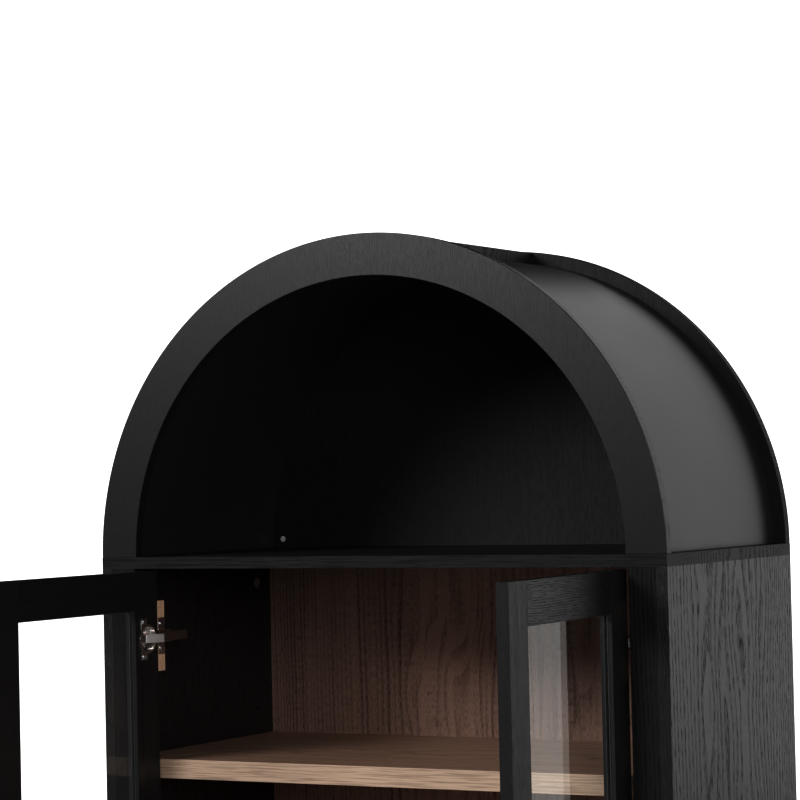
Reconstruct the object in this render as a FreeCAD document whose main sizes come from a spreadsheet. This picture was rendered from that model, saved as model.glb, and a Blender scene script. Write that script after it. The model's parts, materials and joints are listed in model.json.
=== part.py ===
import FreeCAD, Part
import Sketcher
import math
import os

# Arched curio cabinet: a two-door glazed cupboard with an open half-round display niche on top.
# Millimetres. +Z is up, the doors face -Y, and the origin is on the floor under the cabinet's centre.
# Both doors stand open in the rest position, the left one by left_open and the right one by right_open.

Vector = FreeCAD.Vector
doc = FreeCAD.newDocument("curio_cabinet")
sheet = doc.addObject("Spreadsheet::Sheet", "sizes")

driving_sizes = {
    # carcass
    "cabinet_width": 800,
    "cabinet_depth": 400,
    "cabinet_height": 1400,      # floor to the top of the divider board
    "board": 15,                 # side panels, divider, bottom, ring, stiles and plinth
    "stile_face": 50,            # front face beside the doors, side panel edge included
    "plinth_height": 70,
    "plinth_setback": 30,
    "glide_height": 4,
    "back_sheet": 5,
    "back_inset": 5,
    "groove_depth": 5,
    "groove_ease": 0.5,          # room for the back sheet at the bottom of its groove
    # arched niche
    "ring_face": 53,
    "shell_inset": 17,           # curved shell, set in from the outer edge of the ring
    "shell_wall": 9,
    "ridge_width": 92,
    "ridge_height": 13,
    # shelves
    "shelf_thickness": 25,
    "shelf_drop": 262,           # top of the divider board to the top of the first shelf
    "shelf_pitch": 262,
    "shelf_ease": 1,
    "shelf_setback": 6,          # behind the closed doors, clear of their swing
    "pin_radius": 2.5,
    "pin_reach": 7,
    "pin_depth": 9,
    "pin_step": 64,
    "pin_front": 60,             # front row of pin holes, behind the front plane
    "pin_rear": 48,              # rear row, from the back plane
    # doors
    "door_thickness": 15,
    "door_frame": 50,
    "hinge_gap": 2,
    "meeting_gap": 3,
    "door_gap": 3,
    "glass_thickness": 4,
    "glass_setback": 6,
    "glass_edge": 7,             # how far the glass reaches into the frame
    "seal_wall": 0.5,
    "seal_lip": 1,
    "left_open": 90,
    "right_open": 93,
    # hinges
    "pivot_in": 11.3,            # door's turning axis, from its hinge edge
    "pivot_back": 4.5,           # and from its outer face
    "hinge_inset": 87,           # hinge centre, from the end of the door
    "cup_radius": 17.4,
    "cup_inset": 22.5,
    "cup_depth": 11.2,
    "cup_wall": 0.8,
    "block_height": 92,
    "block_width": 20,
    "plate_back": 57,            # mounting plate centre, behind the front plane
    "link_width": 11,
    "link_wall": 2,
    "link_share": 0.385,         # turn of the hinge links for each degree of the door
    "pin_ease": 0.05,
    # pulls
    "pull_length": 160,
    "pull_radius": 5,
    "pull_standoff": 25,
}

for row, (alias, value) in enumerate(driving_sizes.items(), start=1):
    sheet.set(f"A{row}", alias)
    sheet.set(f"B{row}", str(value))
    sheet.setAlias(f"B{row}", alias)
doc.recompute()


class Formula:
    """Arithmetic on the sheet's cells, kept as the text that setExpression takes."""

    def __init__(self, text):
        self.text = str(text)

    def __str__(self):
        return self.text

    def __add__(self, other):
        return Formula(f"({self} + {other})")

    def __sub__(self, other):
        return Formula(f"({self} - ({other}))")

    def __rsub__(self, other):
        return Formula(f"({other} - {self})")

    def __mul__(self, other):
        return Formula(f"({self} * {other})")

    def __truediv__(self, other):
        return Formula(f"({self} / {other})")

    def __neg__(self):
        return Formula(f"(-1 * {self})")

    __radd__ = __add__
    __rmul__ = __mul__


def size(alias):
    return Formula(f"sizes.{alias}")


def value_of(formula):
    """The number that a formula has now, for a shape that code works out."""
    return float(sheet.evalExpression(str(formula)))


def put(item, corner):
    for axis, formula in zip("xyz", corner):
        item.setExpression(f"Placement.Base.{axis}", str(formula))
    return item


def box(name, corner, sides):
    """A board, from its lowest corner and its three side lengths."""
    item = doc.addObject("Part::Box", name)
    for side, formula in zip(("Length", "Width", "Height"), sides):
        item.setExpression(side, str(formula))
    return put(item, corner)


def rod(name, radius, length, start, along="z"):
    """A round bar or drilling that starts at a point and runs along +X, +Y or +Z."""
    item = doc.addObject("Part::Cylinder", name)
    item.setExpression("Radius", str(radius))
    item.setExpression("Height", str(length))
    turns = {"x": (Vector(0, 1, 0), 90), "y": (Vector(1, 0, 0), -90), "z": (Vector(0, 0, 1), 0)}
    item.Placement = FreeCAD.Placement(Vector(), FreeCAD.Rotation(*turns[along]))
    return put(item, start)


def gather(name, pieces):
    item = doc.addObject("Part::Compound", name)
    item.Links = pieces
    return item


def fuse(name, pieces):
    item = doc.addObject("Part::MultiFuse", name)
    item.Shapes = pieces
    return item


def cut(name, base, tools):
    item = doc.addObject("Part::Cut", name)
    item.Base = base
    item.Tool = tools[0] if len(tools) == 1 else gather(name + "_tools", tools)
    return item


def mirrored(name, source):
    """The same piece for the other side of the cabinet."""
    item = doc.addObject("Part::Mirroring", name)
    item.Source = source
    item.Base = (0, 0, 0)
    item.Normal = (1, 0, 0)
    return item


half_width = size("cabinet_width") / 2
inner_half = half_width - size("board")
opening_half = half_width - size("stile_face")
front = -(size("cabinet_depth") / 2)
back = size("cabinet_depth") / 2
deck = size("cabinet_height")                      # top of the divider board, floor of the niche
ceiling = deck - size("board")                     # underside of the divider board
base_top = size("plinth_height") + size("board")   # top of the bottom panel
back_sheet_front = back - size("back_inset") - size("back_sheet")

nodes = {}


def keep(name, item):
    """Marks a finished piece, under the name that its file gets."""
    item.Label = name
    nodes[name] = item
    return item


# ---------------------------------------------------------------- fixings in the carcass

CAM_RADIUS = 7.4
CAM_HOLE_RADIUS = 7.5
CAM_DEPTH = 12.5
CAM_THICKNESS = 12
CAM_REACH = 34             # joint face to cam centre
CAM_BOLT_RADIUS = 3
CAM_BOLT_BITE = 11
TOP_CAM_ROWS = (50, 45)    # from the front plane, and from the back plane
LOW_CAM_ROWS = (90, 90)    # clear of the plinth boards
DOWEL_RADIUS = 4
DOWEL_HALF = 12
DOWEL_ROWS = (110, 110)
ARCH_DOWEL_INSET = 40      # from the outer edge of the arch, clear of the curved shell
ARCH_DOWEL_DEPTH = 9       # into the divider board, above the back sheet's groove
ARCH_DOWEL_RISE = 15


def rows_at(insets):
    """A front row and a rear row, set in from the front and back planes."""
    return enumerate((front + insets[0], back - insets[1]))


cam_holes = []
cams = []
bolts = []
bolt_free = CAM_REACH - CAM_HOLE_RADIUS
bolt_length = bolt_free + CAM_BOLT_BITE
for row, cam_y in rows_at(TOP_CAM_ROWS):
    # top joint: cam in the side panel's inner face, bolt hanging from the divider board
    top_cam_z = ceiling - CAM_REACH
    top_cam = (inner_half, cam_y, top_cam_z)
    cam_holes.append(rod(f"top_cam_hole_{row}", CAM_HOLE_RADIUS, CAM_DEPTH, top_cam, "x"))
    cams.append(rod(f"top_cam_{row}", CAM_RADIUS, CAM_THICKNESS, top_cam, "x"))
    bolt_x = half_width - size("board") / 2
    bolt_start = ceiling - bolt_free
    bolts.append(rod(f"top_bolt_{row}", CAM_BOLT_RADIUS, bolt_length, (bolt_x, cam_y, bolt_start)))
for row, cam_y in rows_at(LOW_CAM_ROWS):
    # bottom joint: cam under the bottom panel, bolt from the side panel
    low_cam_x = inner_half - CAM_REACH
    low_z = size("plinth_height")
    cam_holes.append(rod(f"low_cam_hole_{row}", CAM_HOLE_RADIUS, CAM_DEPTH, (low_cam_x, cam_y, low_z)))
    cams.append(rod(f"low_cam_{row}", CAM_RADIUS, CAM_THICKNESS, (low_cam_x, cam_y, low_z)))
    low_bolt = (inner_half - bolt_free, cam_y, low_z + size("board") / 2)
    bolts.append(rod(f"low_bolt_{row}", CAM_BOLT_RADIUS, bolt_length, low_bolt, "x"))

dowels = []
for row, dowel_y in rows_at(DOWEL_ROWS):
    dowel_start = (half_width - size("board") / 2, dowel_y, ceiling - DOWEL_HALF)
    dowels.append(rod(f"side_dowel_{row}", DOWEL_RADIUS, 2 * DOWEL_HALF, dowel_start))
board_middle = size("board") / 2
for name, dowel_y in (("ring_dowel", front + board_middle), ("arch_dowel", back - board_middle)):
    dowel_start = (half_width - ARCH_DOWEL_INSET, dowel_y, deck - ARCH_DOWEL_DEPTH)
    dowels.append(rod(name, DOWEL_RADIUS, ARCH_DOWEL_DEPTH + ARCH_DOWEL_RISE, dowel_start))

right_fixings = {"cams": cams, "bolts": bolts, "dowels": dowels, "cam_holes": cam_holes}
both = {}
for kind, pieces in right_fixings.items():
    right_half = gather(f"right_{kind}", pieces)
    both[kind] = gather(f"all_{kind}", [right_half, mirrored(f"left_{kind}", right_half)])
keep("cam_locks", both["cams"])
keep("cam_bolts", both["bolts"])
keep("joining_dowels", both["dowels"])
drillings = [both["cam_holes"], both["bolts"], both["dowels"]]

# ---------------------------------------------------------------- shelves and their pins

SHELF_COUNT = 4
shelf_holes = []
shelf_pins = []
pin_rows = {"front": front + size("pin_front"), "rear": back - size("pin_rear")}


def shelf_level(number):
    """Top of a shelf, counted from the top."""
    return deck - size("shelf_drop") - size("shelf_pitch") * (number - 1)


for number in range(1, SHELF_COUNT + 1):
    shelf_under = shelf_level(number) - size("shelf_thickness")
    shelf_half = inner_half - size("shelf_ease")
    shelf_front = front + size("door_thickness") + size("shelf_setback")
    shelf = box(
        f"shelf_{number}",
        (-shelf_half, shelf_front, shelf_under),
        (shelf_half * 2, back_sheet_front - shelf_front, size("shelf_thickness")),
    )
    keep(f"shelf_{number}", shelf)
    for row, row_y in pin_rows.items():
        for step in (-1, 0, 1):
            hole_z = shelf_under - size("pin_radius") + size("pin_step") * step
            hole_start = (inner_half, row_y, hole_z)
            hole_name = f"pin_hole_{number}_{row}_{step + 1}"
            shelf_holes.append(rod(hole_name, size("pin_radius"), size("pin_depth"), hole_start, "x"))
        pin_start = (inner_half - size("pin_reach"), row_y, shelf_under - size("pin_radius"))
        pin_length = size("pin_reach") + size("pin_depth")
        shelf_pins.append(rod(f"pin_{number}_{row}", size("pin_radius"), pin_length, pin_start, "x"))
right_pins = gather("right_shelf_pins", shelf_pins)
keep("shelf_pins", gather("shelf_pins", [right_pins, mirrored("left_shelf_pins", right_pins)]))

# ---------------------------------------------------------------- carcass boards

groove_half = inner_half + size("groove_depth")
groove = box(
    "back_groove",
    (-groove_half, back_sheet_front, base_top - size("groove_depth")),
    (groove_half * 2, size("back_sheet"), ceiling - base_top + size("groove_depth") * 2),
)
sheet_half = groove_half - size("groove_ease")
sheet_low = base_top - size("groove_depth") + size("groove_ease")
sheet_high = ceiling + size("groove_depth") - size("groove_ease")
keep("back_panel", box(
    "back_panel",
    (-sheet_half, back_sheet_front, sheet_low),
    (sheet_half * 2, size("back_sheet"), sheet_high - sheet_low),
))

divider_blank = box(
    "divider_blank",
    (-half_width, front, ceiling),
    (size("cabinet_width"), size("cabinet_depth"), size("board")),
)
keep("divider_board", cut("divider_board", divider_blank, [groove] + drillings))

bottom_blank = box(
    "bottom_blank",
    (-inner_half, front, size("plinth_height")),
    (inner_half * 2, size("cabinet_depth"), size("board")),
)
keep("bottom_panel", cut("bottom_panel", bottom_blank, [groove] + drillings))

side_blank = box(
    "side_blank",
    (inner_half, front, size("glide_height")),
    (size("board"), size("cabinet_depth"), ceiling - size("glide_height")),
)
side_drilled = cut("right_side_panel", side_blank, [groove] + drillings + shelf_holes)
keep("right_side_panel", side_drilled)
keep("left_side_panel", mirrored("left_side_panel", side_drilled))

right_stile = box(
    "right_face_stile",
    (opening_half, front, base_top),
    (inner_half - opening_half, size("board"), ceiling - base_top),
)
keep("right_face_stile", right_stile)
keep("left_face_stile", mirrored("left_face_stile", right_stile))

# ---------------------------------------------------------------- plinth, glides and centre foot

plinth_low = size("glide_height")
plinth_sides = (inner_half * 2, size("board"), size("plinth_height") - plinth_low)
plinth_front_y = front + size("plinth_setback")
keep("plinth_front", box("plinth_front", (-inner_half, plinth_front_y, plinth_low), plinth_sides))
plinth_rear_y = back - size("plinth_setback") - size("board")
keep("plinth_rear", box("plinth_rear", (-inner_half, plinth_rear_y, plinth_low), plinth_sides))

GLIDE_RADIUS = 7
GLIDE_INSET = 40
glide_x = half_width - size("board") / 2
right_glides = gather("right_glides", [
    rod("front_glide", GLIDE_RADIUS, size("glide_height"), (glide_x, front + GLIDE_INSET, 0)),
    rod("rear_glide", GLIDE_RADIUS, size("glide_height"), (glide_x, back - GLIDE_INSET, 0)),
])
keep("floor_glides", gather("floor_glides", [right_glides, mirrored("left_glides", right_glides)]))

FOOT_RADIUS = 20
FOOT_PAD = 6
STEM_RADIUS = 6
FLANGE_RADIUS = 22
FLANGE_HEIGHT = 5
keep("centre_foot", fuse("centre_foot", [
    rod("foot_pad", FOOT_RADIUS, FOOT_PAD, (0, 0, 0)),
    rod("foot_stem", STEM_RADIUS, size("plinth_height"), (0, 0, 0)),
    rod("foot_flange", FLANGE_RADIUS, FLANGE_HEIGHT, (0, 0, size("plinth_height") - FLANGE_HEIGHT)),
]))

# ---------------------------------------------------------------- arched niche


def arch_body(name, outer, inner, quarter, start, length):
    """A half or quarter ring, or a half disc, that stands on the divider board, padded to the front."""
    body = doc.addObject("PartDesign::Body", name)
    sketch = body.newObject("Sketcher::SketchObject", name + "_outline")
    plane = next(item for item in body.Origin.OriginFeatures if item.Role == "XZ_Plane")
    sketch.AttachmentSupport = [(plane, "")]
    sketch.MapMode = "FlatFace"
    sketch.setExpression("AttachmentOffset.Base.z", str(-start))
    sweep = math.pi / 2 if quarter else math.pi
    origin = Vector()
    up = Vector(0, 0, 1)
    radii = [("outer_radius", outer)]
    if inner is not None:
        radii.append(("inner_radius", inner))
    arcs = []
    for title, formula in radii:
        circle = Part.Circle(origin, up, value_of(formula))
        arc = sketch.addGeometry(Part.ArcOfCircle(circle, 0, sweep), False)
        sketch.addConstraint(Sketcher.Constraint("Coincident", arc, 3, -1, 1))
        sketch.addConstraint(Sketcher.Constraint("PointOnObject", arc, 1, -1))
        sketch.addConstraint(Sketcher.Constraint("PointOnObject", arc, 2, -2 if quarter else -1))
        radius = sketch.addConstraint(Sketcher.Constraint("Radius", arc, value_of(formula)))
        sketch.renameConstraint(radius, title)
        sketch.setExpression(f"Constraints.{title}", str(formula))
        arcs.append(arc)
    first = sketch.Geometry[arcs[0]]
    if inner is None:
        line = sketch.addGeometry(Part.LineSegment(first.EndPoint, first.StartPoint), False)
        sketch.addConstraint(Sketcher.Constraint("Coincident", line, 1, arcs[0], 2))
        sketch.addConstraint(Sketcher.Constraint("Coincident", line, 2, arcs[0], 1))
    else:
        second = sketch.Geometry[arcs[1]]
        ends = ((1, first.StartPoint, second.StartPoint), (2, first.EndPoint, second.EndPoint))
        for end, near, far in ends:
            line = sketch.addGeometry(Part.LineSegment(near, far), False)
            sketch.addConstraint(Sketcher.Constraint("Coincident", line, 1, arcs[0], end))
            sketch.addConstraint(Sketcher.Constraint("Coincident", line, 2, arcs[1], end))
    pad = body.newObject("PartDesign::Pad", name + "_pad")
    pad.Profile = sketch
    pad.setExpression("Length", str(length))
    body.setExpression("Placement.Base.z", str(deck))
    return body


arch_radius = half_width
shell_outer = arch_radius - size("shell_inset")
shell_inner = shell_outer - size("shell_wall")
ring_inner = arch_radius - size("ring_face")
shell_back = back - size("board") + size("groove_depth")
right_shell = arch_body("right_shell_blank", shell_outer, shell_inner, True, shell_back, shell_back * 2)
left_shell = mirrored("left_shell_blank", right_shell)

ring_blank = arch_body("ring_blank", arch_radius, ring_inner, False, front + size("board"), size("board"))
keep("front_arch_ring", cut("front_arch_ring", ring_blank, [right_shell, left_shell, both["dowels"]]))
arch_blank = arch_body("arch_blank", arch_radius, None, False, back, size("board"))
keep("back_arch_panel", cut("back_arch_panel", arch_blank, [right_shell, left_shell, both["dowels"]]))

# The ridge batten is coped to the shell, and covers the butt joint of its two halves.
ridge_length = size("cabinet_depth") - size("board") * 2
ridge_front = front + size("board")
ridge_blank = box(
    "ridge_blank",
    (-size("ridge_width") / 2, ridge_front, deck + ring_inner),
    (size("ridge_width"), ridge_length, shell_outer - ring_inner + size("ridge_height")),
)
shell_form = rod("shell_form", shell_outer, ridge_length, (0, ridge_front, deck), "y")

SCREW_RADIUS = 2
SCREW_HEAD_RADIUS = 4
SCREW_HEAD_HEIGHT = 2
RIDGE_SCREW_OFFSET = 20
RIDGE_SCREW_BITE = 8
RIDGE_SCREW_SHARES = (0.2, 0.8)    # of the batten's length
ridge_screws = []
for row, share in enumerate(RIDGE_SCREW_SHARES):
    screw_y = ridge_front + ridge_length * share
    # the head seats on the shell's curve, so it sits lower than the shell's crown
    seat = deck + Formula(f"sqrt({shell_inner} ^ 2 - {RIDGE_SCREW_OFFSET + SCREW_HEAD_RADIUS} ^ 2)")
    shank_length = size("shell_wall") + RIDGE_SCREW_BITE
    shank_start = (RIDGE_SCREW_OFFSET, screw_y, seat - SCREW_HEAD_HEIGHT / 2)
    ridge_screws.append(fuse(f"ridge_screw_{row}", [
        rod(f"ridge_head_{row}", SCREW_HEAD_RADIUS, SCREW_HEAD_HEIGHT,
            (RIDGE_SCREW_OFFSET, screw_y, seat - SCREW_HEAD_HEIGHT)),
        rod(f"ridge_shank_{row}", SCREW_RADIUS, shank_length, shank_start),
    ]))
right_ridge_screws = gather("right_ridge_screws", ridge_screws)
left_ridge_screws = mirrored("left_ridge_screws", right_ridge_screws)
all_ridge_screws = gather("ridge_screws", [right_ridge_screws, left_ridge_screws])
keep("ridge_screws", all_ridge_screws)
keep("ridge_batten", cut("ridge_batten", ridge_blank, [shell_form, all_ridge_screws]))
for side, shell in (("right", right_shell), ("left", left_shell)):
    keep(f"{side}_curved_shell", cut(f"{side}_curved_shell", shell, [all_ridge_screws]))

CAP_RADIUS = 4
CAP_HEIGHT = 1.5
CAP_SIDE = 42                # from the outer edge of the arch
CAP_RISE = 12                # above the niche floor
cap_y = back - size("board") - CAP_HEIGHT
cap_start = (half_width - CAP_SIDE, cap_y, deck + CAP_RISE)
right_cap = rod("right_cap", CAP_RADIUS, CAP_HEIGHT, cap_start, "y")
keep("niche_screw_caps", gather("niche_screw_caps", [right_cap, mirrored("left_cap", right_cap)]))

# ---------------------------------------------------------------- doors
# Each door is built closed, in a frame of its own whose origin is on the turning axis, hinge edge to
# the left, and is then set in the opening and swung open. The right door is the left one mirrored.

door_width = opening_half - size("hinge_gap") - size("meeting_gap") / 2
door_low = base_top + size("door_gap")
door_high = ceiling - size("door_gap")
door_height = door_high - door_low
frame_low = door_low + size("door_frame")
frame_high = door_high - size("door_frame")


def across(distance):
    """Along the door, from its hinge edge."""
    return distance - size("pivot_in")


def into(distance):
    """Through the door, from its outer face."""
    return distance - size("pivot_back")


def door_box(name, low, high):
    """A box in the door's frame, between two corners: from the hinge edge, from the outer face, height."""
    sides = [Formula(upper) - lower for lower, upper in zip(low, high)]
    return box(name, (across(Formula(low[0])), into(Formula(low[1])), low[2]), sides)


# the middle hinge sits halfway up the bay between two shelves, clear of both
MIDDLE_BAY = (2, 3)
bay_high = shelf_level(MIDDLE_BAY[0]) - size("shelf_thickness")
bay_low = shelf_level(MIDDLE_BAY[1])
hinge_heights = [door_low + size("hinge_inset"), (bay_low + bay_high) / 2, door_high - size("hinge_inset")]

glass_front = size("glass_setback")
glass_back = glass_front + size("glass_thickness")
glass_start = size("door_frame") - size("glass_edge")
seal_start = glass_start - size("seal_wall")
glass_box = door_box(
    "glass",
    (glass_start, glass_front, door_low + glass_start),
    (door_width - glass_start, glass_back, door_high - glass_start),
)
seal_blank = door_box(
    "seal_blank",
    (seal_start, glass_front - size("seal_wall"), door_low + seal_start),
    (door_width - seal_start, glass_back + size("seal_wall"), door_high - seal_start),
)
sight = size("door_frame") + size("seal_lip")
sight_hole = door_box(
    "sight_hole",
    (sight, 0, door_low + sight),
    (door_width - sight, size("door_thickness"), door_high - sight),
)
seal = cut("seal", seal_blank, [glass_box, sight_hole])

cup_holes = []
cups = []
cup_screws = []
FLANGE_WALL = 1.2
FLANGE_RIM = 1.6
FLANGE_BAR_START = 2.5       # from the cup centre
FLANGE_BAR_END = 15.5
FLANGE_BAR_HALF = 26.5
CUP_SCREW_OFFSET = 9.5
CUP_SCREW_HALF = 22.5
CUP_SCREW_DEPTH = 9
CUP_SCREW_HEAD = 3.6
CUP_SCREW_HEAD_HEIGHT = 1.5
for number, height in enumerate(hinge_heights, start=1):
    inner_face = size("door_thickness")
    centre_x = across(size("cup_inset"))
    mouth = into(inner_face)
    cup_floor = mouth - size("cup_depth")
    inner_radius = size("cup_radius") - size("cup_wall")
    cup_holes.append(rod(f"cup_hole_{number}", size("cup_radius"), size("cup_depth"),
                         (centre_x, cup_floor, height), "y"))
    cup_body = fuse(f"cup_blank_{number}", [
        rod(f"cup_wall_{number}", size("cup_radius"), size("cup_depth") + FLANGE_WALL,
            (centre_x, cup_floor, height), "y"),
        rod(f"cup_rim_{number}", size("cup_radius") + FLANGE_RIM, FLANGE_WALL,
            (centre_x, mouth, height), "y"),
        door_box(
            f"cup_bar_{number}",
            (size("cup_inset") + FLANGE_BAR_START, inner_face, height - FLANGE_BAR_HALF),
            (size("cup_inset") + FLANGE_BAR_END, inner_face + FLANGE_WALL, height + FLANGE_BAR_HALF),
        ),
    ])
    hollow = rod(f"cup_hollow_{number}", inner_radius, size("cup_depth") + FLANGE_WALL,
                 (centre_x, cup_floor + size("cup_wall"), height), "y")
    screws = []
    for end, side in ((1, -1), (2, 1)):
        spot = (centre_x + CUP_SCREW_OFFSET, mouth - CUP_SCREW_DEPTH, height + side * CUP_SCREW_HALF)
        head = (spot[0], mouth + FLANGE_WALL, spot[2])
        shank_length = CUP_SCREW_DEPTH + FLANGE_WALL
        screws.append(fuse(f"cup_screw_{number}_{end}", [
            rod(f"cup_shank_{number}_{end}", SCREW_RADIUS, shank_length, spot, "y"),
            rod(f"cup_head_{number}_{end}", CUP_SCREW_HEAD, CUP_SCREW_HEAD_HEIGHT, head, "y"),
        ]))
    cup_screws += screws
    cups.append(cut(f"cup_{number}", cup_body, [hollow] + screws))

PULL_SCREW_RADIUS = 2
PULL_SCREW_HEAD = 4
PULL_SCREW_HEAD_HEIGHT = 2
PULL_SCREW_REACH = 12        # into the post, from the door's outer face
PULL_POST_RADIUS = 4
PULL_POST_INSET = 16
pull_x = across(door_width - size("door_frame") / 2)
pull_y = into(-size("pull_standoff"))
pull_low = (door_low + door_high) / 2 - size("pull_length") / 2
pull_parts = [rod("pull_bar", size("pull_radius"), size("pull_length"), (pull_x, pull_y, pull_low))]
pull_screws = []
for end, post_z in enumerate((pull_low + PULL_POST_INSET, pull_low + size("pull_length") - PULL_POST_INSET)):
    post_start = (pull_x, pull_y, post_z)
    pull_parts.append(rod(f"pull_post_{end}", PULL_POST_RADIUS, size("pull_standoff"), post_start, "y"))
    shank_start = (pull_x, into(Formula(-PULL_SCREW_REACH)), post_z)
    shank_length = size("door_thickness") + PULL_SCREW_REACH
    head_start = (pull_x, into(size("door_thickness")), post_z)
    pull_screws.append(fuse(f"pull_screw_{end}", [
        rod(f"pull_shank_{end}", PULL_SCREW_RADIUS, shank_length, shank_start, "y"),
        rod(f"pull_head_{end}", PULL_SCREW_HEAD, PULL_SCREW_HEAD_HEIGHT, head_start, "y"),
    ]))
pull_blank = fuse("pull_blank", pull_parts)

hinge_stile_blank = door_box(
    "hinge_stile_blank", (0, 0, door_low), (size("door_frame"), size("door_thickness"), door_high))
free_stile_blank = door_box(
    "free_stile_blank",
    (door_width - size("door_frame"), 0, door_low),
    (door_width, size("door_thickness"), door_high),
)
top_rail_blank = door_box(
    "top_rail_blank",
    (size("door_frame"), 0, frame_high),
    (door_width - size("door_frame"), size("door_thickness"), door_high),
)
bottom_rail_blank = door_box(
    "bottom_rail_blank",
    (size("door_frame"), 0, door_low),
    (door_width - size("door_frame"), size("door_thickness"), frame_low),
)
door_pieces = {
    "door_hinge_stile": cut("hinge_stile", hinge_stile_blank, [seal_blank] + cup_holes + cup_screws),
    "door_free_stile": cut("free_stile", free_stile_blank, [seal_blank] + pull_screws),
    "door_top_rail": cut("top_rail", top_rail_blank, [seal_blank]),
    "door_bottom_rail": cut("bottom_rail", bottom_rail_blank, [seal_blank]),
    "door_glass": glass_box,
    "door_seal": seal,
    "hinge_cups": gather("cups", cups),
    "cup_screws": gather("cup_screws", cup_screws),
    "door_pull": cut("pull", pull_blank, pull_screws),
    "pull_screws": gather("pull_screws", pull_screws),
}
axis_x = opening_half - size("hinge_gap") - size("pivot_in")
axis_y = front + size("pivot_back")
for title, piece in door_pieces.items():
    left_piece = gather(f"left_{title}", [piece])
    put(left_piece, (-axis_x, axis_y, 0))
    left_piece.setExpression("Placement.Rotation.Angle", str(-size("left_open")))
    keep(f"left_{title}", left_piece)
    right_piece = gather(f"right_{title}", [mirrored(f"mirrored_{title}", piece)])
    put(right_piece, (axis_x, axis_y, 0))
    right_piece.setExpression("Placement.Rotation.Angle", str(size("right_open")))
    keep(f"right_{title}", right_piece)

# ---------------------------------------------------------------- hinge blocks, plates and arms
# Built for the left side, measured from the stile's inner edge and the front plane.

edge_x = -opening_half


def block_box(name, low, high):
    sides = [Formula(upper) - lower for lower, upper in zip(low, high)]
    return box(name, (edge_x + low[0], front + low[1], low[2]), sides)


BLOCK_SCREW_HALF = 37
BLOCK_HEAD_RADIUS = 3.5
BLOCK_HEAD_HEIGHT = 2
BLOCK_HEAD_SINK = 3          # head's top, below the block's face
PLATE_WALL = 2
PLATE_HALF = 24
PLATE_WIDTH = 14
PLATE_SCREW_HALF = 16
PLATE_SCREW_HEAD = 4.2
PLATE_SCREW_HEAD_HEIGHT = 1.6
PLATE_SCREW_BITE = 12        # into the block
HUMP_TOP = 5
HUMP_HALF = 8
HUMP_LENGTH = 36
ARM_LOW = 5
ARM_TOP = 13
ARM_HALF = 6.2
ARM_TAIL = 45
LINK_PIVOT = (8, 25)         # pin that the links turn on
LINK_PIN_RADIUS = 1.5
EAR_WALL = 1.5
EAR_REACH = 3.5
EAR_GAP = 0.4
ARM_START = 30
BRIDGE_LENGTH = 6

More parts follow.
